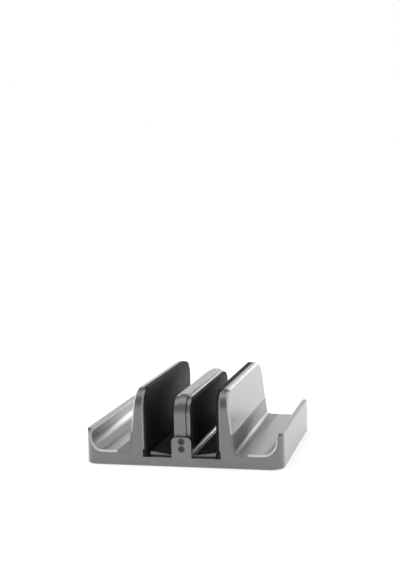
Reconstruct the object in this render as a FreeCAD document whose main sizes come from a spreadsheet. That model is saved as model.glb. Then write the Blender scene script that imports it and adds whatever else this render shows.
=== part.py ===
import FreeCAD, Part
import math
import os
from types import SimpleNamespace

import Sketcher

# Vertical stand: one extruded and milled aluminium body with two towers, two outer trays and a
# central rib. Between rib and towers lie two slots. In each slot an L-shaped jaw turns on a long
# pin at the foot of the rib, so that the weight on its pedal leans its leg against the load.
# Frame: X across the slots, Y along them, Z up, origin on the ground under the middle.
# All lengths are millimetres and all angles degrees.

SIZES = [
    ("body_width", 134.0, "overall width across the slots"),
    ("body_depth", 124.0, "overall depth along the slots"),
    ("plan_radius", 9.5, "radius of the four upright corners of the body"),
    ("ground_gap", 0.5, "height of the metal underside above the ground"),
    ("tower_top", 51.0, "height of the tower tops above the ground"),
    ("tower_inner", 25.0, "half the distance between the slot faces of the towers"),
    ("tower_head", 6.2, "thickness of a tower at its top"),
    ("tower_foot", 10.8, "thickness of a tower at the height of the tray floor"),
    ("tower_radius", 12.0, "radius of the tower tops at front and back"),
    ("lip_top", 23.0, "height of the outer lips above the ground"),
    ("lip_wall", 4.5, "thickness of an outer lip"),
    ("lip_radius", 8.0, "radius of the lip tops at front and back"),
    ("tray_floor", 10.0, "height of the tray floors above the ground"),
    ("lip_fillet", 8.5, "inner radius of a tray beside its lip"),
    ("tower_fillet", 3.5, "inner radius of a tray beside its tower"),
    ("edge_break", 1.2, "bright chamfer along the profile edges"),
    ("ledge_top", 6.3, "height of the ledge under each tower liner"),
    ("ledge_width", 2.1, "width of that ledge"),
    ("channel_floor", 4.0, "height of the floor under the pedals"),
    ("rib_half", 2.6, "half thickness of the central rib"),
    ("rib_waist", 1.6, "half thickness of the rib beside the knuckles"),
    ("rib_waist_top", 9.7, "height where the rib gets its full thickness"),
    ("rib_top", 46.5, "height of the rib above the ground"),
    ("plate_thick", 3.0, "thickness of the pivot plates"),
    ("plate_half", 6.7, "half width of the upright part of a pivot plate"),
    ("plate_top", 20.0, "height of the pivot plates above the ground"),
    ("plate_radius", 3.0, "radius of the upper corners of a pivot plate"),
    ("plate_play", 0.1, "gap between a pivot plate and the channel walls"),
    ("screw_low", 12.2, "height of the lower plate screw"),
    ("screw_high", 17.2, "height of the upper plate screw"),
    ("screw_radius", 1.25, "shank radius of a plate screw"),
    ("screw_reach", 8.0, "depth of a screw in the rib"),
    ("screw_head", 2.3, "head radius of a plate screw"),
    ("screw_play", 0.04, "gap around a screw shank and its head"),
    ("socket_radius", 0.9, "corner radius of the hexagon socket"),
    ("socket_depth", 0.8, "depth of the hexagon socket"),
    ("pivot_out", 4.3, "distance of a pivot axis from the middle"),
    ("pivot_up", 6.7, "height of the pivot axes above the ground"),
    ("pin_radius", 1.25, "radius of a pivot pin"),
    ("pin_seat", 2.0, "depth of a pin end in its plate"),
    ("pin_fit", 0.02, "radial gap of a pin in its plate"),
    ("pin_running", 0.05, "radial gap of a pin in its jaw"),
    ("washer_thick", 0.8, "thickness of a pivot washer"),
    ("washer_radius", 2.3, "outer radius of a pivot washer"),
    ("end_play", 0.3, "gap between a jaw and each washer"),
    ("knuckle", 2.4, "outer radius of a jaw around its pin"),
    ("leg_gap", 0.3, "gap between a jaw leg and the rib"),
    ("leg_thick", 2.6, "thickness of a jaw leg"),
    ("leg_top", 45.0, "height of the jaw legs above the ground"),
    ("leg_radius", 10.5, "radius of the leg tops at front and back"),
    ("pedal_thick", 2.5, "thickness of a pedal"),
    ("pedal_gap", 1.4, "gap between a closed pedal and the tower liner"),
    ("pedal_round", 0.8, "radius along the pedal tip"),
    ("jaw_angle", 8.0, "angle that a jaw turns from open to closed"),
    ("jaw_pad_thick", 1.3, "thickness of the silicone on a jaw leg"),
    ("jaw_pad_low", 11.2, "height of the lower edge of that silicone"),
    ("pad_margin", 1.0, "metal left bare around the silicone of a jaw"),
    ("pedal_pad_thick", 1.2, "thickness of the silicone on a pedal"),
    ("pedal_pad_start", 4.4, "distance from a pivot axis to the pedal silicone"),
    ("spring_back", 5.2, "distance of the springs from the pedal tip"),
    ("spring_along", 34.0, "distance of the springs from the middle, along the slot"),
    ("spring_coil", 1.6, "mean radius of a pedal spring"),
    ("spring_wire", 0.15, "wire radius of a pedal spring"),
    ("spring_turns", 4.0, "turns of a pedal spring"),
    ("spring_play", 0.5, "gap between a spring and the wall of its pocket"),
    ("spring_gap", 0.05, "gap between a spring and the floor and roof of its pockets"),
    ("spring_sink", 1.0, "depth of a spring pocket in the channel floor"),
    ("spring_recess", 1.1, "depth of a spring pocket in the pedal"),
    ("liner_thick", 1.3, "thickness of the silicone on a slot face"),
    ("liner_wrap", 2.5, "how far the liner laps over the tower top"),
    ("liner_skin", 1.3, "thickness of that lap"),
    ("lap_setback", 9.5, "distance of the ends of that lap from front and back"),
    ("lap_round", 1.0, "radius of the upper corners at those ends"),
    ("groove_depth", 1.3, "depth of the groove that holds the liner foot"),
    ("groove_height", 5.0, "height of the liner foot"),
    ("tray_pad_thick", 1.2, "thickness of the silicone in a tray corner"),
    ("tray_pad_top", 22.7, "height of its upper edge on the tower"),
    ("tray_pad_reach", 8.2, "how far it reaches over the tray floor"),
    ("glue_gap", 0.04, "gap between that silicone and its recess"),
    ("mat_margin", 5.0, "metal around the mat under the base"),
    ("mat_sink", 0.6, "depth of the mat recess"),
    ("mat_play", 0.2, "gap between the mat and the wall of its recess"),
    ("cut_over", 5.0, "how far the large cuts start outside the metal"),
    ("cut_near", 1.0, "how far the shallow cuts start outside the metal"),
]

doc = FreeCAD.newDocument("laptop_stand")
sheet = doc.addObject("Spreadsheet::Sheet", "Sizes")
for row, (alias, number, meaning) in enumerate(SIZES, start=1):
    sheet.set(f"A{row}", meaning)
    sheet.set(f"B{row}", str(number))
    sheet.setAlias(f"B{row}", alias)
doc.recompute()


class Length:
    """A number together with the sheet formula that gives it."""

    def __init__(self, formula, value):
        self.formula = formula
        self.value = value

    def __add__(self, other):
        other = as_length(other)
        return Length(f"({self.formula} + {other.formula})", self.value + other.value)

    def __sub__(self, other):
        other = as_length(other)
        return Length(f"({self.formula} - {other.formula})", self.value - other.value)

    def __mul__(self, other):
        other = as_length(other)
        return Length(f"({self.formula} * {other.formula})", self.value * other.value)

    def __truediv__(self, other):
        other = as_length(other)
        return Length(f"({self.formula} / {other.formula})", self.value / other.value)

    def __neg__(self):
        return self * -1

    def __rmul__(self, other):
        return self * other


def as_length(number):
    """Wraps a plain number; a Length stays as it is."""
    if isinstance(number, Length):
        return number
    return Length(str(float(number)), float(number))


def sine(angle):
    return Length(f"sin({angle.formula})", math.sin(math.radians(angle.value)))


def cosine(angle):
    return Length(f"cos({angle.formula})", math.cos(math.radians(angle.value)))


S = SimpleNamespace()
for alias, number, _ in SIZES:
    setattr(S, alias, Length(f"Sizes.{alias}", number))
ZERO = as_length(0)
SAME = 0.01
SOCKET_SIDES = 6
WIRE_SIDES = 8
TURNS_PER_PIECE = 1
SIDES = (("left", -1), ("right", 1))
ENDS = (("front", -1), ("rear", 1))

# Places that several pieces share
half_width = S.body_width / 2
half_depth = S.body_depth / 2
tower_head_x = S.tower_inner + S.tower_head
tower_foot_x = S.tower_inner + S.tower_foot
lip_inner = half_width - S.lip_wall
channel_half = S.tower_inner - S.ledge_width
groove_top = S.ledge_top + S.groove_height
groove_x = S.tower_inner + S.groove_depth
liner_x = S.tower_inner - S.liner_thick
lap_y = half_depth - S.lap_setback
lap_floor = S.tower_top - S.liner_skin
tray_pad_x = tower_foot_x + S.tray_pad_reach
wall_slope = (S.tower_foot - S.tower_head) / (S.tower_top - S.tray_floor)
pad_top_x = tower_foot_x - wall_slope * (S.tray_pad_top - S.tray_floor)
recess_foot_x = tower_foot_x - S.tray_pad_thick + wall_slope * S.tray_pad_thick
recess_floor = S.tray_floor - S.tray_pad_thick
plate_y = half_depth - S.plate_thick
jaw_half_length = plate_y - S.washer_thick - S.end_play
leg_inner = S.rib_half + S.leg_gap
leg_outer = leg_inner + S.leg_thick
pedal_reach = liner_x - S.pedal_gap - S.pivot_out
pedal_over = S.pedal_thick - S.knuckle
spring_out = pedal_reach - S.spring_back
spring_floor = S.channel_floor - S.spring_sink
spring_x = S.pivot_out + spring_out * cosine(S.jaw_angle)
spring_roof = (S.pivot_up + spring_out * sine(S.jaw_angle) - S.knuckle / cosine(S.jaw_angle)
               + S.spring_recess)
spring_pocket = S.spring_coil + S.spring_wire + S.spring_play
spring_tilt = (S.spring_coil + S.spring_wire) * sine(S.jaw_angle)
screw_heights = (S.screw_low, S.screw_high)
screw_hole = S.screw_radius + S.screw_play
mat_x = half_width - S.mat_margin
mat_y = half_depth - S.mat_margin


def bind(item, prop, length):
    """Ties one property of an object to its sheet formula."""
    item.setExpression(prop, as_length(length).formula)


def new_body(label):
    body = doc.addObject("PartDesign::Body", label)
    body.Label = label
    return body


def new_sketch(body, plane, offset=ZERO):
    """A sketch on one of the body's own planes, moved along that plane's normal."""
    sketch = body.newObject("Sketcher::SketchObject", f"{body.Name}_sketch")
    for item in body.Origin.OriginFeatures:
        if item.Role == plane:
            sketch.AttachmentSupport = [(item, "")]
    sketch.MapMode = "FlatFace"
    shift = FreeCAD.Vector(0, 0, as_length(offset).value)
    sketch.AttachmentOffset = FreeCAD.Placement(shift, FreeCAD.Rotation())
    bind(sketch, "AttachmentOffset.Base.z", offset)
    return sketch


def tie(sketch, kind, geometry, point, coordinate):
    """Holds one coordinate of a point at its distance from the sketch origin."""
    coordinate = as_length(coordinate)
    if coordinate.formula == ZERO.formula:
        axis = -2 if kind == "DistanceX" else -1
        sketch.addConstraint(Sketcher.Constraint("PointOnObject", geometry, point, axis))
        return
    if coordinate.value < 0:
        span = -coordinate
        index = sketch.addConstraint(Sketcher.Constraint(kind, geometry, point, -1, 1, span.value))
    else:
        span = coordinate
        index = sketch.addConstraint(Sketcher.Constraint(kind, -1, 1, geometry, point, span.value))
    sketch.setExpression(f"Constraints[{index}]", span.formula)


def turn_at(before, corner, after, radius):
    """Start, end and centre of the arc that rounds a corner, and whether it turns left."""
    back = (before - corner).normalize()
    ahead = (after - corner).normalize()
    half_angle = back.getAngle(ahead) / 2
    reach = radius / math.tan(half_angle)
    start = corner + back * reach
    end = corner + ahead * reach
    middle = (back + ahead).normalize()
    centre = corner + middle * (radius / math.sin(half_angle))
    left = back.cross(ahead).z < 0
    return start, end, centre, left


def draw_outline(sketch, corners):
    """Draws a closed outline. Each corner is (across, up) or (across, up, radius)."""
    places = [FreeCAD.Vector(as_length(c[0]).value, as_length(c[1]).value, 0) for c in corners]
    count = len(corners)
    turns = {}
    for i, corner in enumerate(corners):
        if len(corner) == 3:
            turns[i] = turn_at(places[i - 1], places[i], places[(i + 1) % count], corner[2].value)
    lines = []
    for i in range(count):
        j = (i + 1) % count
        start = turns[i][1] if i in turns else places[i]
        end = turns[j][0] if j in turns else places[j]
        lines.append(sketch.addGeometry(Part.LineSegment(start, end), False))
    for i, corner in enumerate(corners):
        line_in, line_out = lines[i - 1], lines[i]
        if i not in turns:
            sketch.addConstraint(Sketcher.Constraint("Coincident", line_in, 2, line_out, 1))
            tie(sketch, "DistanceX", line_out, 1, corner[0])
            tie(sketch, "DistanceY", line_out, 1, corner[1])
            continue
        start, end, centre, left = turns[i]
        first, last = (start, end) if left else (end, start)
        circle = Part.Circle(centre, FreeCAD.Vector(0, 0, 1), corner[2].value)
        angles = [math.atan2(p.y - centre.y, p.x - centre.x) for p in (first, last)]
        if angles[1] < angles[0]:
            angles[1] += 2 * math.pi
        arc = sketch.addGeometry(Part.ArcOfCircle(circle, angles[0], angles[1]), False)
        apex = sketch.addGeometry(Part.Point(places[i]), True)
        arc_in, arc_out = (1, 2) if left else (2, 1)
        sketch.addConstraint(Sketcher.Constraint("Tangent", line_in, 2, arc, arc_in))
        sketch.addConstraint(Sketcher.Constraint("Tangent", arc, arc_out, line_out, 1))
        sketch.addConstraint(Sketcher.Constraint("PointOnObject", apex, 1, line_in))
        sketch.addConstraint(Sketcher.Constraint("PointOnObject", apex, 1, line_out))
        tie(sketch, "DistanceX", apex, 1, corner[0])
        tie(sketch, "DistanceY", apex, 1, corner[1])
        index = sketch.addConstraint(Sketcher.Constraint("Radius", arc, corner[2].value))
        sketch.setExpression(f"Constraints[{index}]", corner[2].formula)


def draw_box(sketch, low, high, radius=None):
    """An upright rectangle between two opposite corners, with all four corners alike."""
    tail = () if radius is None else (radius,)
    spots = ((low[0], low[1]), (high[0], low[1]), (high[0], high[1]), (low[0], high[1]))
    draw_outline(sketch, [spot + tail for spot in spots])


def draw_span(sketch, first_x, second_x, low, high):
    """An upright rectangle between two places across, given in either order."""
    draw_outline(sketch, [(first_x, low), (second_x, low), (second_x, high), (first_x, high)])


def draw_circle(sketch, across, up, radius):
    centre = FreeCAD.Vector(as_length(across).value, as_length(up).value, 0)
    normal = FreeCAD.Vector(0, 0, 1)
    circle = sketch.addGeometry(Part.Circle(centre, normal, radius.value), False)
    tie(sketch, "DistanceX", circle, 3, across)
    tie(sketch, "DistanceY", circle, 3, up)
    index = sketch.addConstraint(Sketcher.Constraint("Radius", circle, radius.value))
    sketch.setExpression(f"Constraints[{index}]", radius.formula)


def pad(body, sketch, length, both=False):
    """Adds material along the sketch normal, or half of it to each side."""
    feature = body.newObject("PartDesign::Pad", f"{body.Name}_extruded")
    feature.Profile = sketch
    bind(feature, "Length", length)
    if both:
        feature.SideType = "Symmetric"
    return feature


def cut(body, sketch, length=None, along=False, both=False):
    """Removes material against the sketch normal, or along it; without a length it goes through."""
    before = body.Shape.Volume
    feature = body.newObject("PartDesign::Pocket", f"{body.Name}_cut")
    feature.Profile = sketch
    feature.Reversed = along
    if both:
        feature.SideType = "Symmetric"
    if length is None:
        feature.Type = "ThroughAll"
    else:
        bind(feature, "Length", length)
    doc.recompute()
    if not body.Shape.Volume < before:
        raise RuntimeError(f"{feature.Name} removes nothing")
    return feature


def mirror(body, feature, plane):
    """Repeats one feature on the other side of the body's own plane."""
    image = body.newObject("PartDesign::Mirrored", f"{body.Name}_mirror")
    image.Originals = [feature]
    for item in body.Origin.OriginFeatures:
        if item.Role == plane:
            image.MirrorPlane = (item, [""])
    body.Tip = image
    doc.recompute()
    return image


def edges_where(body, test):
    """Names of the body's edges whose shape passes a test."""
    return [f"Edge{i}" for i, edge in enumerate(body.Shape.Edges, start=1) if test(edge)]


def near(first, second):
    return abs(first - second) < SAME


def edge_span(edge):
    """The corners of an edge's box."""
    box = edge.BoundBox
    return box.XMin, box.XMax, box.YMin, box.YMax, box.ZMin, box.ZMax


def round_edges(body, names, radius):
    base = body.Tip
    feature = body.newObject("PartDesign::Fillet", f"{body.Name}_round")
    feature.Base = (base, names)
    bind(feature, "Radius", radius)
    doc.recompute()
    return feature


def break_edges(body, names, size):
    base = body.Tip
    feature = body.newObject("PartDesign::Chamfer", f"{body.Name}_break")
    feature.Base = (base, names)
    bind(feature, "Size", size)
    doc.recompute()
    return feature


def round_top_corners(body, half_length, top, radius):
    """Rounds the cross edges at both ends of every wall of one height."""
    def is_corner(edge):
        _, _, y_low, y_high, z_low, z_high = edge_span(edge)
        level = near(z_low, top.value) and near(z_high, top.value)
        return level and near(y_low, y_high) and near(abs(y_low), half_length.value)
    round_edges(body, edges_where(body, is_corner), radius)


# Profile of the body, from the middle of the floor outwards, for one side

def half_profile(side):
    """Corners from the rib top over slot, tower and tray to the foot of the lip."""
    corners = [
        (S.rib_half, S.rib_top),
        (S.rib_half, S.rib_waist_top),
        (S.rib_waist, S.rib_waist_top),
        (S.rib_waist, S.channel_floor),
        (channel_half, S.channel_floor),
        (channel_half, S.ledge_top),
        (groove_x, S.ledge_top),
        (groove_x, groove_top),
        (S.tower_inner, groove_top),
        (S.tower_inner, S.tower_top),
        (tower_head_x, S.tower_top),
        (tower_foot_x, S.tray_floor, S.tower_fillet),
        (lip_inner, S.tray_floor, S.lip_fillet),
        (lip_inner, S.lip_top),
        (half_width, S.lip_top),
        (half_width, S.ground_gap),
    ]
    return [(side * as_length(corner[0]),) + corner[1:] for corner in corners]


def body_profile():
    left = half_profile(-1)
    right = half_profile(1)
    return right + left[::-1]


def make_body():
    body = new_body("body")
    profile = new_sketch(body, "XZ_Plane")
    draw_outline(profile, body_profile())
    pad(body, profile, S.body_depth, both=True)
    doc.recompute()

    # The rib ends are milled back for the pivot plates
    rib_end = new_sketch(body, "XY_Plane", S.channel_floor)
    for _, end in ENDS:
        draw_box(rib_end, (-S.plate_half, end * plate_y), (S.plate_half, end * (half_depth + S.cut_over)))
    cut(body, rib_end, along=True)

    round_top_corners(body, half_depth, S.tower_top, S.tower_radius)
    round_top_corners(body, plate_y, S.rib_top, S.tower_radius)

    # Upright corners of the whole body
    plan = new_sketch(body, "XY_Plane")
    around_x = half_width + S.cut_over
    around_y = half_depth + S.cut_over
    draw_box(plan, (-around_x, -around_y), (around_x, around_y))
    draw_box(plan, (-half_width, -half_depth), (half_width, half_depth), S.plan_radius)
    cut(body, plan, along=True)

    # Rounded ends of the lips
    side_view = new_sketch(body, "YZ_Plane", tray_pad_x)
    for _, end in ENDS:
        draw_outline(side_view, lip_end(end))
    lip_cut = cut(body, side_view, along=True)
    mirror(body, lip_cut, "YZ_Plane")
    break_edges(body, edges_where(body, is_tray_edge), S.edge_break)
    break_edges(body, edges_where(body, is_lip_edge), S.edge_break)

    break_edges(body, edges_where(body, is_slot_edge), S.edge_break)

    # Rebate for the liner along each tower top
    band = new_sketch(body, "YZ_Plane", S.tower_inner)
    draw_box(band, (-lap_y, lap_floor), (lap_y, S.tower_top + S.cut_near))
    band_cut = cut(body, band, S.liner_wrap, along=True)
    mirror(body, band_cut, "YZ_Plane")

    # Recess for the silicone in each tray corner
    corner_cut = new_sketch(body, "XZ_Plane")
    for _, side in SIDES:
        draw_outline(corner_cut, tray_corner(side))
    cut(body, corner_cut, both=True)

    # Threaded holes for the plate screws, drawn plain
    holes = new_sketch(body, "XZ_Plane", plate_y - S.screw_reach)
    for height in screw_heights:
        draw_circle(holes, ZERO, height, screw_hole)
    hole_cut = cut(body, holes, along=True)
    mirror(body, hole_cut, "XZ_Plane")

    pockets = new_sketch(body, "XY_Plane", spring_floor)
    for _, side in SIDES:
        for _, end in ENDS:
            draw_circle(pockets, side * spring_x, end * S.spring_along, spring_pocket)
    cut(body, pockets, along=True)

    recess = new_sketch(body, "XY_Plane", S.ground_gap)
    draw_box(recess, (-mat_x, -mat_y), (mat_x, mat_y), S.plan_radius)
    cut(body, recess, S.mat_sink, along=True)
    return body


def lip_end(end):
    """Side view of the waste above the rounded end of a lip."""
    foot = S.lip_top - S.lip_radius - S.cut_over
    out_y = end * (half_depth + S.cut_over)
    back_y = end * (half_depth - S.lip_radius - S.cut_over)
    return [
        (end * half_depth, foot),
        (end * half_depth, S.lip_top, S.lip_radius),
        (back_y, S.lip_top),
        (back_y, S.lip_top + S.cut_over),
        (out_y, S.lip_top + S.cut_over),
        (out_y, foot),
    ]


def tray_corner(side):
    """Section of the recess in a tray corner, with some of the empty tray above it."""
    corners = [
        (pad_top_x + S.cut_near, S.tray_pad_top),
        (pad_top_x - S.tray_pad_thick, S.tray_pad_top),
        (recess_foot_x, recess_floor, S.tower_fillet + S.tray_pad_thick),
        (tray_pad_x, recess_floor),
        (tray_pad_x, S.tray_floor + S.cut_near),
    ]
    return [(side * corner[0],) + corner[1:] for corner in corners]


def is_tray_edge(edge):
    """The front edge of a tray floor, from which the chamfer runs on all round the tray."""
    _, _, y_low, y_high, z_low, z_high = edge_span(edge)
    level = near(z_low, S.tray_floor.value) and near(z_high, S.tray_floor.value)
    return level and near(y_low, y_high) and y_low < 0


def is_lip_edge(edge):
    x_low, x_high, _, _, z_low, z_high = edge_span(edge)
    level = near(z_low, S.lip_top.value) and near(z_high, S.lip_top.value)
    return level and near(x_low, x_high) and near(abs(x_low), lip_inner.value)


def is_slot_edge(edge):
    """The front upright edge of a slot face, from which the chamfer runs on over the tower top."""
    x_low, x_high, y_low, y_high, z_low, _ = edge_span(edge)
    upright = near(x_low, x_high) and near(abs(x_low), S.tower_inner.value) and near(y_low, y_high)
    return upright and near(z_low, groove_top.value) and y_low < 0


def make_liner(label, side):
    """Silicone over a slot face, lapped over the tower top and keyed into the groove at its foot."""
    body = new_body(label)
    face_x = liner_x if side > 0 else -S.tower_inner
    face = new_sketch(body, "YZ_Plane", face_x)
    draw_outline(face, [
        (-half_depth, S.ledge_top),
        (half_depth, S.ledge_top),
        (half_depth, S.tower_top, S.tower_radius),
        (-half_depth, S.tower_top, S.tower_radius),
    ])
    pad(body, face, S.liner_thick)
    lap_x = S.tower_inner if side > 0 else -(S.tower_inner + S.liner_wrap)
    lap = new_sketch(body, "YZ_Plane", lap_x)
    draw_outline(lap, [
        (-lap_y, lap_floor),
        (lap_y, lap_floor),
        (lap_y, S.tower_top, S.lap_round),
        (-lap_y, S.tower_top, S.lap_round),
    ])
    pad(body, lap, S.liner_wrap)
    foot = new_sketch(body, "XZ_Plane")
    draw_span(foot, side * S.tower_inner, side * groove_x, S.ledge_top, groove_top)
    pad(body, foot, S.body_depth, both=True)
    return body


def make_tray_pad(label, side):
    """Silicone strip that fills the recess in a tray corner, flush with the metal."""
    body = new_body(label)
    section = new_sketch(body, "XZ_Plane")
    gap = S.glue_gap
    corners = [
        (pad_top_x + wall_slope * gap, S.tray_pad_top - gap),
        (pad_top_x - S.tray_pad_thick + gap, S.tray_pad_top - gap),
        (recess_foot_x + gap, recess_floor + gap, S.tower_fillet + S.tray_pad_thick - gap),
        (tray_pad_x - gap, recess_floor + gap),
        (tray_pad_x - gap, S.tray_floor),
        (tower_foot_x, S.tray_floor, S.tower_fillet),
    ]
    draw_outline(section, [(side * corner[0],) + corner[1:] for corner in corners])
    pad(body, section, S.body_depth, both=True)
    return body


def raised(side, out, up):
    """Place of a pedal point, given flat beside the pivot axis, with the jaw open."""
    across = out * cosine(S.jaw_angle) - up * sine(S.jaw_angle)
    height = out * sine(S.jaw_angle) + up * cosine(S.jaw_angle)
    return side * (S.pivot_out + across), S.pivot_up + height


def make_jaw(label, side):
    """Upright leg beside the rib and pedal over the channel, turning together on the pin."""
    body = new_body(label)
    length = jaw_half_length * 2
    leg = new_sketch(body, "XZ_Plane")
    draw_span(leg, side * leg_inner, side * leg_outer, S.pivot_up, S.leg_top)
    pad(body, leg, length, both=True)
    doc.recompute()
    round_top_corners(body, jaw_half_length, S.leg_top, S.leg_radius)

    knuckle = new_sketch(body, "XZ_Plane")
    draw_circle(knuckle, side * S.pivot_out, S.pivot_up, S.knuckle)
    pad(body, knuckle, length, both=True)

    pedal = new_sketch(body, "XZ_Plane")
    under = -S.knuckle
    draw_outline(pedal, [
        raised(side, ZERO, under),
        raised(side, pedal_reach, under) + (S.pedal_round,),
        raised(side, pedal_reach, pedal_over) + (S.pedal_round,),
        raised(side, ZERO, pedal_over),
    ])
    pad(body, pedal, length, both=True)
    doc.recompute()

    bore = new_sketch(body, "XZ_Plane")
    draw_circle(bore, side * S.pivot_out, S.pivot_up, S.pin_radius + S.pin_running)
    cut(body, bore, both=True)

    pockets = new_sketch(body, "XY_Plane", spring_roof)
    for _, end in ENDS:
        draw_circle(pockets, side * spring_x, end * S.spring_along, spring_pocket)
    cut(body, pockets)
    return body


def make_jaw_pad(label, side):
    body = new_body(label)
    face_x = leg_outer if side > 0 else -(leg_outer + S.jaw_pad_thick)
    face = new_sketch(body, "YZ_Plane", face_x)
    half = jaw_half_length - S.pad_margin
    top_radius = S.leg_radius - S.pad_margin
    draw_outline(face, [
        (-half, S.jaw_pad_low, S.pad_margin),
        (half, S.jaw_pad_low, S.pad_margin),
        (half, S.leg_top - S.pad_margin, top_radius),
        (-half, S.leg_top - S.pad_margin, top_radius),
    ])
    pad(body, face, S.jaw_pad_thick)
    return body


def make_pedal_pad(label, side):
    body = new_body(label)
    section = new_sketch(body, "XZ_Plane")
    start = S.pedal_pad_start
    tip = pedal_reach - S.pad_margin
    top = pedal_over + S.pedal_pad_thick
    draw_outline(section, [
        raised(side, start, pedal_over),
        raised(side, tip, pedal_over),
        raised(side, tip, top) + (S.pedal_round,),
        raised(side, start, top) + (S.pedal_round,),
    ])
    pad(body, section, (jaw_half_length - S.pad_margin) * 2, both=True)
    return body


def make_plate(label, end):
    """Inverted T at one end of the channel, with blind seats for the pins and two screw holes."""
    body = new_body(label)
    outline = new_sketch(body, "XZ_Plane", plate_y if end < 0 else -half_depth)
    foot_x = channel_half - S.plate_play
    draw_outline(outline, [
        (-foot_x, S.channel_floor),
        (foot_x, S.channel_floor),
        (foot_x, S.ledge_top),
        (S.plate_half, S.ledge_top),
        (S.plate_half, S.plate_top, S.plate_radius),
        (-S.plate_half, S.plate_top, S.plate_radius),
        (-S.plate_half, S.ledge_top),
        (-foot_x, S.ledge_top),
    ])
    pad(body, outline, S.plate_thick)
    doc.recompute()

    seats = new_sketch(body, "XZ_Plane", -end * plate_y)
    for _, side in SIDES:
        draw_circle(seats, side * S.pivot_out, S.pivot_up, S.pin_radius + S.pin_fit)
    cut(body, seats, S.pin_seat, along=end < 0)

    holes = new_sketch(body, "XZ_Plane")
    for height in screw_heights:
        draw_circle(holes, ZERO, height, screw_hole)
    cut(body, holes, both=True)

    def is_mouth(edge):
        x_low, x_high, y_low, y_high, _, _ = edge_span(edge)
        outside = near(y_low, y_high) and near(y_low, end * half_depth.value)
        return outside and near(x_high, screw_hole.value) and near(x_low, -screw_hole.value)
    break_edges(body, edges_where(body, is_mouth), S.screw_head - S.screw_radius)
    return body


def place(item, x, y, z, turn=None):
    """Puts a primitive at a place, with its Z axis turned about X by an angle."""
    if turn is not None:
        item.Placement.Rotation = FreeCAD.Rotation(FreeCAD.Vector(1, 0, 0), turn)
    for axis, length in zip("xyz", (x, y, z)):
        bind(item, f"Placement.Base.{axis}", length)


def cylinder(name, radius, height):
    item = doc.addObject("Part::Cylinder", name)
    bind(item, "Radius", radius)
    bind(item, "Height", height)
    return item


def make_pin(label, side):
    pin = cylinder(label, S.pin_radius, plate_y * 2 + S.pin_seat * 2 - S.pin_fit * 2)
    place(pin, side * S.pivot_out, -(plate_y + S.pin_seat - S.pin_fit), S.pivot_up, turn=-90)
    pin.Label = label
    return pin


def make_washers(label, side):
    """One flat ring on the pin at each end of a jaw."""
    rings = []
    for where, end in ENDS:
        disc = cylinder(f"{label}_{where}_disc", S.washer_radius, S.washer_thick)
        hole = cylinder(f"{label}_{where}_hole", S.pin_radius + S.pin_running, S.washer_thick)
        start_y = -plate_y if end < 0 else plate_y - S.washer_thick
        for item in (disc, hole):
            place(item, side * S.pivot_out, start_y, S.pivot_up, turn=-90)
        ring = doc.addObject("Part::Cut", f"{label}_{where}")
        ring.Base = disc
        ring.Tool = hole
        rings.append(ring)
    return group(label, rings)


def make_screws(label, end):
    """Two countersunk screws with hexagon sockets, from the plate into the rib."""
    screws = []
    face_y = end * (half_depth - S.screw_play)
    turn = -90 if end < 0 else 90
    head_depth = S.screw_head - S.screw_radius
    for number, height in enumerate(screw_heights, start=1):
        name = f"{label}_{number}"
        head = doc.addObject("Part::Cone", f"{name}_head")
        bind(head, "Radius1", S.screw_head)
        bind(head, "Radius2", S.screw_radius)
        bind(head, "Height", head_depth)
        shank = cylinder(f"{name}_shank", S.screw_radius, S.plate_thick + S.screw_reach - S.screw_play * 3)
        socket = doc.addObject("Part::Prism", f"{name}_socket")
        socket.Polygon = SOCKET_SIDES
        bind(socket, "Circumradius", S.socket_radius)
        bind(socket, "Height", S.socket_depth)
        for item in (head, shank, socket):
            place(item, ZERO, face_y, height, turn=turn)
        solid = doc.addObject("Part::Fuse", f"{name}_solid")
        solid.Base = head
        solid.Tool = shank
        screw = doc.addObject("Part::Cut", name)
        screw.Base = solid
        screw.Tool = socket
        screws.append(screw)
    return group(label, screws)


def make_springs(label, side):
    """One small coil spring under each half of a pedal, of wire drawn with flat sides."""
    coils = []
    floor = spring_floor + S.spring_wire + S.spring_gap
    rest = spring_roof - spring_tilt - S.spring_wire - S.spring_gap - floor
    for where, end in ENDS:
        helix = doc.addObject("Part::Helix", f"{label}_{where}_line")
        bind(helix, "Radius", S.spring_coil)
        bind(helix, "Pitch", rest / S.spring_turns)
        bind(helix, "Height", rest)
        helix.SegmentLength = TURNS_PER_PIECE
        wire = doc.addObject("Part::RegularPolygon", f"{label}_{where}_wire")
        wire.Polygon = WIRE_SIDES
        bind(wire, "Circumradius", S.spring_wire)
        place(helix, side * spring_x, end * S.spring_along, floor)
        place(wire, side * spring_x + S.spring_coil, end * S.spring_along, floor, turn=90)
        coil = doc.addObject("Part::Sweep", f"{label}_{where}")
        coil.Sections = [wire]
        coil.Spine = (helix, [])
        coil.Solid = True
        coil.Frenet = True
        coils.append(coil)
    return group(label, coils)


def group(label, items):
    """One node that holds several separate solids."""
    node = doc.addObject("Part::Compound", label)
    node.Links = items
    node.Label = label
    return node


def make_mat():
    body = new_body("base_mat")
    outline = new_sketch(body, "XY_Plane")
    x, y = mat_x - S.mat_play, mat_y - S.mat_play
    draw_box(outline, (-x, -y), (x, y), S.plan_radius - S.mat_play)
    pad(body, outline, S.ground_gap + S.mat_sink)
    return body


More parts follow.
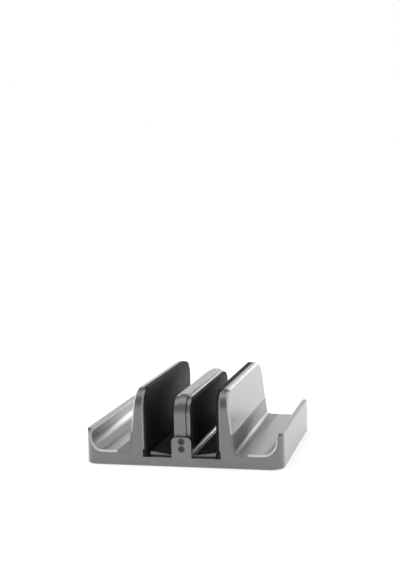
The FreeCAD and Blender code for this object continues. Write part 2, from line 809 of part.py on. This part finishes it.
parts = {"body": make_body(), "base_mat": make_mat()}
for side_name, side in SIDES:
    parts[f"{side_name}_tower_liner"] = make_liner(f"{side_name}_tower_liner", side)
    parts[f"{side_name}_tray_pad"] = make_tray_pad(f"{side_name}_tray_pad", side)
    parts[f"{side_name}_jaw"] = make_jaw(f"{side_name}_jaw", side)
    parts[f"{side_name}_jaw_pad"] = make_jaw_pad(f"{side_name}_jaw_pad", side)
    parts[f"{side_name}_pedal_pad"] = make_pedal_pad(f"{side_name}_pedal_pad", side)
    parts[f"{side_name}_pivot_pin"] = make_pin(f"{side_name}_pivot_pin", side)
    parts[f"{side_name}_pivot_washers"] = make_washers(f"{side_name}_pivot_washers", side)
    parts[f"{side_name}_pedal_springs"] = make_springs(f"{side_name}_pedal_springs", side)
for end_name, end in ENDS:
    parts[f"{end_name}_pivot_plate"] = make_plate(f"{end_name}_pivot_plate", end)
    parts[f"{end_name}_plate_screws"] = make_screws(f"{end_name}_plate_screws", end)

doc.recompute()
for item in doc.Objects:
    if "Invalid" in item.State or "Error" in item.State:
        raise RuntimeError(f"{item.Label} failed: {item.State}")
for name, item in parts.items():
    if item.Label != name or item.Shape.isNull() or not item.Shape.isValid():
        raise RuntimeError(f"{name} has no valid shape")

os.makedirs("parts", exist_ok=True)
for name, item in parts.items():
    item.Shape.exportStep(f"parts/{name}.step")
    print(name, len(item.Shape.Solids), round(item.Shape.Volume, 1))
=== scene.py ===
import math

import bmesh
import bpy
from mathutils import Matrix, Vector


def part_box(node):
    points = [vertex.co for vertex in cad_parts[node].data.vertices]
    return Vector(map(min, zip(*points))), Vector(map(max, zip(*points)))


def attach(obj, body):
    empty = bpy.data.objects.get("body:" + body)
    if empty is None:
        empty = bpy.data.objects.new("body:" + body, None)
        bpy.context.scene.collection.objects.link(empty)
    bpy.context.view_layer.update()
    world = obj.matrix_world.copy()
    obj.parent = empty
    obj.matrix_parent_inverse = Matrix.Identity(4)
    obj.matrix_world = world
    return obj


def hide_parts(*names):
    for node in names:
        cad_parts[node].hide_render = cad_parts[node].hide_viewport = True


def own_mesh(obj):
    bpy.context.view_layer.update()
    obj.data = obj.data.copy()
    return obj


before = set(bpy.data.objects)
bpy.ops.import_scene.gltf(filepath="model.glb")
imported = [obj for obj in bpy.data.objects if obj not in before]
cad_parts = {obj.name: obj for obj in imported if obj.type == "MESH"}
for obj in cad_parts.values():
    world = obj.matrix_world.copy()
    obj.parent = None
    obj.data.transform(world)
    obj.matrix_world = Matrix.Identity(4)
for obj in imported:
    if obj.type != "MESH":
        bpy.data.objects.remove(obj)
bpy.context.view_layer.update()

# Looks of a low aluminium stand: blasted and anodised metal whose cut edges are pale as bare metal
# and also carry a painted highlight, black and grey silicone linings, steel pins, screws and
# springs.
# Lengths are metres in the frame's own axes.

MM = 0.001
SIDES = ("left", "right")
ENDS = ("front", "rear")

# Colours and roughness, each as a dark or smooth end and a pale or matt end

METAL_GREYS = ((0.156, 0.158, 0.162), (0.180, 0.182, 0.186))
METAL_MATT = (0.31, 0.34)
# Cut edges: pale as bare aluminium, and paler still and mostly not metallic as a painted highlight
# that looks lit from every side
BARE_AND_HIGHLIGHT_GREYS = ((0.66, 0.662, 0.665), (0.74, 0.742, 0.745))
BARE_MATT = (0.46, 0.52)
HIGHLIGHT_SCATTER = 0.80
METAL_COAT = {"Coat Weight": 1.0, "Coat Roughness": 0.28, "Coat IOR": 1.46}
BLACK_GREYS = ((0.014, 0.014, 0.015), (0.020, 0.020, 0.021))
PAD_GREYS = ((0.215, 0.216, 0.219), (0.238, 0.239, 0.243))
SILICONE_IOR = 1.43
PIN_GREYS = ((0.50, 0.50, 0.50), (0.60, 0.60, 0.60))
SCREW_GREYS = ((0.055, 0.055, 0.058), (0.085, 0.085, 0.088))
SPRING_GREYS = ((0.42, 0.42, 0.42), (0.52, 0.52, 0.52))
ALONG_PIN = (1.0, 0.06, 1.0)
ANY_WAY = (1.0, 1.0, 1.0)
NYLON_WHITES = ((0.72, 0.71, 0.67), (0.80, 0.79, 0.76))
NYLON_DEPTH = (0.6 * MM, 0.6 * MM, 0.5 * MM)

# Where the chamfers of the body lie. A lean is the part of a normal that points along one axis.

CHAMFER_LEAN = (0.60, 0.82)
FILLET_LEAN_X = 0.2
FILLET_LEAN_Y = 0.3
END_CHAMFER_Y = 61.15 * MM
FLOOR_CHAMFER_Y = 60.75 * MM
TOWER_OUTER_X = 36.0 * MM
# The tower-top chamfer is painted pale only above TOWER_RIM_Z, a thin painted highlight, and there
# its paleness is cut by painted shade
TOWER_EDGE_Z = (11.2 * MM, 49.6 * MM)
TOWER_RIM_Z = 50.35 * MM
RIM_PAINTED_SHADE = 0.55
LIP_FILLET_X = 54.0 * MM
LIP_INNER_X = 61.0 * MM
LIP_RIM_Z = 22.4 * MM

# Edge radii of the silicone linings

MAT_EDGE = 0.2 * MM
LINER_EDGE = 0.25 * MM
TRAY_PAD_EDGE = 0.12 * MM
JAW_PAD_EDGE = 0.3 * MM
EDGE_STEPS = 3
SHARP_ANGLE = math.radians(30)
FLAT_ANGLE = math.radians(0.5)
WELD = 0.001 * MM

# Pedal springs

WIRE_RADIUS = 0.15 * MM
COIL_RADIUS = 1.6 * MM
TURNS = 4
STEPS_PER_TURN = 28
WIRE_SIDES = 10

# Floor and room. The brightness of the room is given by height above the horizon, as pairs of the
# sine of that height and a level.

FLOOR_SIZE = 80.0
FLOOR_COLOUR = 0.80
FLOOR_WHITE = 0.585
ROOM_BEHIND = ((0.0, 1.0), (0.14, 1.0), (0.21, 1.02), (0.32, 1.0), (0.45, 0.65), (0.55, 0.35),
               (0.80, 0.38), (0.92, 0.9), (1.0, 1.0))
ROOM_BEFORE = ((0.0, 1.0), (0.03, 1.0), (0.06, 0.35), (0.12, 0.35), (0.20, 0.60), (0.30, 0.60),
               (0.50, 0.40), (0.64, 0.38), (0.80, 0.60), (0.92, 0.95), (1.0, 1.0))
ROOM_TURN = 0.4
BRIGHTEST = 2.0

# Lamps, by name, place, width, height and watts, all aimed at one spot

LAMP_AIM = Vector((0.0, 0.0, 0.025))
SOFTBOXES = (
    ("right_back", (0.54, 1.38, 0.20), 0.86, 0.40, 3.4),
    ("overhead", (-0.2, -0.2, 1.1), 0.6, 0.5, 0.6),
    ("left_front", (-1.1, -0.6, 0.7), 0.5, 0.5, 3.0),
)

# Camera, as far and as high as the photograph's

CAMERA_PLACE = Vector((0.1812, -0.7552, 0.1923))
CAMERA_YAW = math.radians(13.45)
CAMERA_PITCH = math.radians(5.75)
CAMERA_ROLL = math.radians(-1.44)
CAMERA_LENS = 70.4
CAMERA_CLIP = (0.05, 50.0)


def new_object(name, data):
    item = bpy.data.objects.new(name, data)
    bpy.context.scene.collection.objects.link(item)
    return item


# Shader nodes


def feed(tree, node, inputs):
    """Links or sets the inputs of a node."""
    for key, value in inputs.items():
        if isinstance(value, bpy.types.NodeSocket):
            tree.links.new(value, node.inputs[key])
        else:
            node.inputs[key].default_value = value


def add_node(tree, kind, inputs=None, **settings):
    """A node with its settings and the values or links of its inputs."""
    node = tree.nodes.new(kind)
    for key, value in settings.items():
        setattr(node, key, value)
    feed(tree, node, inputs or {})
    return node


def empty_tree(owner):
    """The cleared node tree of a material or world."""
    owner.use_nodes = True
    owner.node_tree.nodes.clear()
    return owner.node_tree


def new_material(name):
    """A material with its node tree and principled shader."""
    material = bpy.data.materials.new(name)
    tree = empty_tree(material)
    shader = add_node(tree, "ShaderNodeBsdfPrincipled")
    add_node(tree, "ShaderNodeOutputMaterial", {"Surface": shader.outputs["BSDF"]})
    return material, tree, shader


def object_place(tree):
    return add_node(tree, "ShaderNodeTexCoord").outputs["Object"]


def noise(tree, place, grain, detail=2.0, roughness=0.5):
    """Noise whose lumps are about one grain across."""
    inputs = {"Vector": place, "Scale": 1.0 / grain, "Detail": detail, "Roughness": roughness}
    return add_node(tree, "ShaderNodeTexNoise", inputs).outputs["Fac"]


def spread(tree, value, low, high):
    """Takes the middle of a noise to the range from low to high."""
    inputs = {"Value": value, "From Min": 0.3, "From Max": 0.7, "To Min": low, "To Max": high}
    return add_node(tree, "ShaderNodeMapRange", inputs).outputs["Result"]


def blend(tree, kind, share, first, second):
    """Goes from the first to the second of two colours or numbers as a share grows."""
    node = add_node(tree, "ShaderNodeMix", data_type=kind)
    places = [place for place, socket in enumerate(node.inputs) if socket.enabled]
    feed(tree, node, dict(zip(places, (share, first, second))))
    return next(socket for socket in node.outputs if socket.enabled)


def mottled(tree, pattern, dark, pale):
    """A colour that varies with a noise."""
    return blend(tree, "RGBA", spread(tree, pattern, 0.0, 1.0), (*dark, 1.0), (*pale, 1.0))


def bump(tree, shader, height, distance):
    node = add_node(tree, "ShaderNodeBump", {"Height": height, "Distance": distance})
    tree.links.new(node.outputs["Normal"], shader.inputs["Normal"])


# Masks, which are one where something holds and zero elsewhere


def maths(tree, operation, first, second):
    """One step of arithmetic on two links or numbers."""
    node = add_node(tree, "ShaderNodeMath", {0: first, 1: second}, operation=operation)
    return node.outputs[0]


def size_of(tree, value):
    return maths(tree, "ABSOLUTE", value, 0.0)


def over(tree, value, limit):
    return maths(tree, "GREATER_THAN", value, limit)


def under(tree, value, limit):
    return maths(tree, "LESS_THAN", value, limit)


def all_of(tree, mask, *others):
    for other in others:
        mask = maths(tree, "MULTIPLY", mask, other)
    return mask


def any_of(tree, mask, *others):
    for other in others:
        mask = maths(tree, "MAXIMUM", mask, other)
    return mask


def between(tree, value, low, high):
    return all_of(tree, over(tree, value, low), under(tree, value, high))


def less_by(tree, mask, share):
    """One less a share of a mask."""
    return maths(tree, "SUBTRACT", 1.0, maths(tree, "MULTIPLY", mask, share))


def cut_edges_and_highlight(tree):
    """The chamfers of the body, which are cut after blasting.

    The second value is their paleness, the colour of bare metal together with a painted highlight,
    which painted shade makes less on the rims of the towers.
    """
    spot = add_node(tree, "ShaderNodeTexCoord").outputs
    place = add_node(tree, "ShaderNodeSeparateXYZ", {0: spot["Object"]}).outputs
    normal = add_node(tree, "ShaderNodeSeparateXYZ", {0: spot["Normal"]}).outputs
    far_x, far_y = size_of(tree, place["X"]), size_of(tree, place["Y"])
    lean_x, lean_y = size_of(tree, normal["X"]), size_of(tree, normal["Y"])
    inward = under(tree, maths(tree, "MULTIPLY", place["X"], normal["X"]), 0.0)
    below_lip = under(tree, place["Z"], LIP_RIM_Z)

    # Cut across the ends of the profile
    at_floor = all_of(tree, under(tree, lean_x, FILLET_LEAN_X), over(tree, far_y, FLOOR_CHAMFER_Y))
    at_end = any_of(tree, over(tree, far_y, END_CHAMFER_Y), at_floor)
    on_end = all_of(tree, between(tree, lean_y, *CHAMFER_LEAN), at_end)
    on_fillet = all_of(tree, over(tree, far_x, LIP_FILLET_X), over(tree, lean_x, FILLET_LEAN_X),
                       over(tree, lean_y, FILLET_LEAN_Y), below_lip, inward)

    # Cut along the towers and inside the lips
    on_rim = over(tree, place["Z"], TOWER_RIM_Z)
    on_height = any_of(tree, between(tree, place["Z"], *TOWER_EDGE_Z), on_rim)
    on_tower = all_of(tree, under(tree, far_x, TOWER_OUTER_X), on_height)
    on_lip = all_of(tree, over(tree, far_x, LIP_INNER_X), below_lip, inward)
    along = all_of(tree, between(tree, lean_x, *CHAMFER_LEAN), any_of(tree, on_tower, on_lip))

    edge = any_of(tree, on_end, on_fillet, along)
    # The paleness is weaker on the tower rims: painted shade that dims their painted highlight
    return edge, all_of(tree, edge, less_by(tree, on_rim, RIM_PAINTED_SHADE))


# Materials


def blasted_aluminium(name, has_cut_edges_and_highlight):
    """Fine-blasted, space-grey anodised aluminium, where asked with bare cut edges that also carry
    a painted highlight.
    """
    material, tree, shader = new_material(name)
    place = object_place(tree)
    cloud = noise(tree, place, 18 * MM, detail=3.0)
    grain = noise(tree, place, 0.16 * MM, roughness=0.6)
    grey = mottled(tree, cloud, *METAL_GREYS)
    matt = spread(tree, cloud, *METAL_MATT)
    metallic = 1.0
    if has_cut_edges_and_highlight:
        cutter = noise(tree, place, 0.5 * MM)
        edge, paleness_and_highlight = cut_edges_and_highlight(tree)
        # Painted highlight: on the cut edges the colour goes pale and the metal mostly diffuse, so
        # that they look bright from every side
        grey = blend(tree, "RGBA", paleness_and_highlight, grey, mottled(tree, cutter, *BARE_AND_HIGHLIGHT_GREYS))
        matt = blend(tree, "FLOAT", edge, matt, spread(tree, cutter, *BARE_MATT))
        metallic = less_by(tree, edge, HIGHLIGHT_SCATTER)
    feed(tree, shader, {"Base Color": grey, "Roughness": matt, "Metallic": metallic})
    feed(tree, shader, METAL_COAT)
    bump(tree, shader, grain, 0.012 * MM)
    return material


def silicone(name, greys, gloss, shine):
    """Moulded silicone with a fine matt skin."""
    material, tree, shader = new_material(name)
    place = object_place(tree)
    cloud = noise(tree, place, 6 * MM, detail=4.0)
    skin = noise(tree, place, 0.22 * MM)
    rough = spread(tree, cloud, gloss, gloss + 0.06)
    feed(tree, shader, {"Base Color": mottled(tree, cloud, *greys), "Roughness": rough,
                        "IOR": SILICONE_IOR, "Specular IOR Level": shine})
    bump(tree, shader, skin, 0.02 * MM)
    return material


def steel(name, greys, gloss, stretch):
    """Ground steel, whose fine lines can be stretched along one axis."""
    material, tree, shader = new_material(name)
    place = add_node(tree, "ShaderNodeMapping", {"Vector": object_place(tree), "Scale": stretch})
    lines = noise(tree, place.outputs["Vector"], 0.3 * MM, detail=3.0)
    rough = spread(tree, lines, gloss, gloss + 0.12)
    feed(tree, shader, {"Base Color": mottled(tree, lines, *greys), "Roughness": rough,
                        "Metallic": 1.0})
    bump(tree, shader, lines, 0.004 * MM)
    return material


def nylon(name):
    material, tree, shader = new_material(name)
    cloud = noise(tree, object_place(tree), 1.5 * MM, detail=3.0)
    feed(tree, shader, {"Base Color": mottled(tree, cloud, *NYLON_WHITES), "Roughness": 0.42,
                        "Subsurface Weight": 0.15, "Subsurface Radius": NYLON_DEPTH})
    bump(tree, shader, cloud, 0.01 * MM)
    return material


edged_metal = blasted_aluminium("edged_aluminium", True)
plain_metal = blasted_aluminium("blasted_aluminium", False)
black_silicone = silicone("black_silicone", BLACK_GREYS, 0.60, 0.18)
grey_silicone = silicone("grey_silicone", PAD_GREYS, 0.32, 1.0)
pin_steel = steel("pin_steel", PIN_GREYS, 0.22, ALONG_PIN)
screw_steel = steel("screw_steel", SCREW_GREYS, 0.34, ANY_WAY)
spring_steel = steel("spring_steel", SPRING_GREYS, 0.25, ANY_WAY)
white_nylon = nylon("nylon")


def paint(node_name, material):
    """Gives a CAD node its finish."""
    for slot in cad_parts[node_name].material_slots:
        slot.material = material


paint("body", edged_metal)
for side in SIDES:
    paint(f"{side}_jaw", plain_metal)
    paint(f"{side}_pivot_pin", pin_steel)
    paint(f"{side}_pivot_washers", white_nylon)
for end in ENDS:
    paint(f"{end}_pivot_plate", plain_metal)
    paint(f"{end}_plate_screws", screw_steel)

# Silicone linings, with softly moulded edges in place of the sharp solids


def moulded(node_name, body, material, radius):
    """A copy of a lining's solid, with its flat faces whole again and its edges rounded."""
    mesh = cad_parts[node_name].data.copy()
    shell = bmesh.new()
    shell.from_mesh(mesh)
    bmesh.ops.remove_doubles(shell, verts=shell.verts, dist=WELD)
    bmesh.ops.dissolve_limit(shell, angle_limit=FLAT_ANGLE, verts=shell.verts, edges=shell.edges)
    for face in shell.faces:
        face.smooth = True
    shell.to_mesh(mesh)
    shell.free()
    mesh.materials.clear()
    mesh.materials.append(material)
    piece = new_object(f"{node_name}_moulded", mesh)
    rounding = piece.modifiers.new("rounding", "BEVEL")
    rounding.width = radius
    rounding.segments = EDGE_STEPS
    rounding.limit_method = "ANGLE"
    rounding.angle_limit = SHARP_ANGLE
    rounding.harden_normals = True
    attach(piece, body)
    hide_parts(node_name)


moulded("base_mat", "stand", black_silicone, MAT_EDGE)
for side in SIDES:
    jaw = f"{side}_jaw"
    moulded(f"{side}_tower_liner", "stand", black_silicone, LINER_EDGE)
    moulded(f"{side}_tray_pad", "stand", grey_silicone, TRAY_PAD_EDGE)
    moulded(f"{side}_jaw_pad", jaw, black_silicone, JAW_PAD_EDGE)
    moulded(f"{side}_pedal_pad", jaw, black_silicone, JAW_PAD_EDGE)

# Round spring wire in place of the flat-sided solids


def add_coil(shell, low, high, centre_x, centre_y):
    """One helix of round wire between two heights, closed at both ends."""
    rings = []
    steps = TURNS * STEPS_PER_TURN
    rise = (high - low - 2 * WIRE_RADIUS) / steps
    for step in range(steps + 1):
        turn = 2 * math.pi * step / STEPS_PER_TURN
        out = Vector((math.cos(turn), math.sin(turn), 0.0))
        height = low + WIRE_RADIUS + rise * step
        spine = Vector((centre_x, centre_y, height)) + out * COIL_RADIUS
        ring = []
        for corner in range(WIRE_SIDES):
            angle = 2 * math.pi * corner / WIRE_SIDES
            sideways = out * (WIRE_RADIUS * math.cos(angle))
            upward = Vector((0, 0, WIRE_RADIUS * math.sin(angle)))
            ring.append(shell.verts.new(spine + sideways + upward))
        rings.append(ring)
    for first, second in zip(rings, rings[1:]):
        for i in range(WIRE_SIDES):
            j = (i + 1) % WIRE_SIDES
            shell.faces.new((first[i], first[j], second[j], second[i])).smooth = True
    shell.faces.new(rings[0][::-1])
    shell.faces.new(rings[-1])


def springs(side):
    """Both coils under one pedal, as round wire filling the height of the pedal springs' solid."""
    low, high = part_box(f"{side}_pedal_springs")
    margin = COIL_RADIUS + WIRE_RADIUS
    shell = bmesh.new()
    for centre_y in (low.y + margin, high.y - margin):
        add_coil(shell, low.z, high.z, (low.x + high.x) / 2, centre_y)
    bmesh.ops.recalc_face_normals(shell, faces=shell.faces)
    mesh = bpy.data.meshes.new(f"{side}_spring_wire")
    shell.to_mesh(mesh)
    shell.free()
    mesh.materials.append(spring_steel)
    piece = new_object(f"{side}_spring_wire", mesh)
    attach(piece, "stand")
    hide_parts(f"{side}_pedal_springs")
    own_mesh(piece)


for side in SIDES:
    springs(side)

# Floor, world, lamps and camera


def white_ground():
    """White ground that keeps the shadow and renders white beside it."""
    material = bpy.data.materials.new("white_floor")
    tree = empty_tree(material)
    ground = add_node(tree, "ShaderNodeBsdfDiffuse", {"Color": (FLOOR_COLOUR,) * 3 + (1.0,)})
    rays = add_node(tree, "ShaderNodeLightPath").outputs
    seen = any_of(tree, rays["Is Camera Ray"], rays["Is Glossy Ray"], rays["Is Transmission Ray"])
    strength = maths(tree, "MULTIPLY", seen, FLOOR_WHITE)
    glow = add_node(tree, "ShaderNodeEmission", {"Strength": strength})
    total = add_node(tree, "ShaderNodeAddShader", {0: ground.outputs[0], 1: glow.outputs[0]})
    add_node(tree, "ShaderNodeOutputMaterial", {"Surface": total.outputs[0]})
    return material


def white_floor():
    half = FLOOR_SIZE / 2
    corners = [(-half, -half, 0), (half, -half, 0), (half, half, 0), (-half, half, 0)]
    mesh = bpy.data.meshes.new("floor")
    mesh.from_pydata(corners, [], [(0, 1, 2, 3)])
    mesh.materials.append(white_ground())
    new_object("floor", mesh)


def height_ramp(tree, height, levels):
    """The brightness at a height, by straight runs between the pairs of a list."""
    node = add_node(tree, "ShaderNodeValToRGB", {"Fac": height})
    stops = node.color_ramp.elements
    while len(stops) < len(levels):
        stops.new(0.5)
    for stop, (position, _) in zip(stops, levels):
        stop.position = position
    for stop, (_, level) in zip(stops, levels):
        stop.color = (level / BRIGHTEST,) * 3 + (1.0,)
    return node.outputs["Color"]


def studio_world():
    """A white room, bright near the horizon and overhead, with darker walls between."""
    world = bpy.data.worlds.new("studio")
    bpy.context.scene.world = world
    tree = empty_tree(world)
    way = add_node(tree, "ShaderNodeTexCoord").outputs["Generated"]
    axes = add_node(tree, "ShaderNodeSeparateXYZ", {"Vector": way}).outputs
    turn = {"Value": axes["Y"], "From Min": -ROOM_TURN, "From Max": ROOM_TURN}
    behind = add_node(tree, "ShaderNodeMapRange", turn, interpolation_type="SMOOTHSTEP")
    colour = blend(tree, "RGBA", behind.outputs["Result"],
                   height_ramp(tree, axes["Z"], ROOM_BEFORE),
                   height_ramp(tree, axes["Z"], ROOM_BEHIND))
    sky = add_node(tree, "ShaderNodeBackground", {"Color": colour, "Strength": BRIGHTEST})
    add_node(tree, "ShaderNodeOutputWorld", {"Surface": sky.outputs[0]})


def softbox(name, place, width, height, power):
    lamp = bpy.data.lights.new(name, "AREA")
    lamp.shape = "RECTANGLE"
    lamp.size = width
    lamp.size_y = height
    lamp.energy = power
    item = new_object(name, lamp)
    item.location = place
    item.rotation_euler = (Vector(place) - LAMP_AIM).to_track_quat("Z", "Y").to_euler()


def aim_camera():
    sine, cosine = math.sin(CAMERA_YAW), math.cos(CAMERA_YAW)
    flat = math.cos(CAMERA_PITCH)
    ahead = Vector((-sine * flat, cosine * flat, -math.sin(CAMERA_PITCH)))
    level = Vector((cosine, sine, 0.0))
    upright = level.cross(ahead)
    right = level * math.cos(CAMERA_ROLL) + upright * math.sin(CAMERA_ROLL)
    up = upright * math.cos(CAMERA_ROLL) - level * math.sin(CAMERA_ROLL)
    turned = Matrix((right, up, -ahead)).transposed().to_4x4()
    camera = new_object("camera", bpy.data.cameras.new("camera"))
    camera.matrix_world = Matrix.Translation(CAMERA_PLACE) @ turned
    camera.data.lens = CAMERA_LENS
    camera.data.clip_start, camera.data.clip_end = CAMERA_CLIP
    bpy.context.scene.camera = camera


white_floor()
studio_world()
for lamp_values in SOFTBOXES:
    softbox(*lamp_values)
aim_camera()
bpy.context.scene.view_settings.view_transform = "Standard"
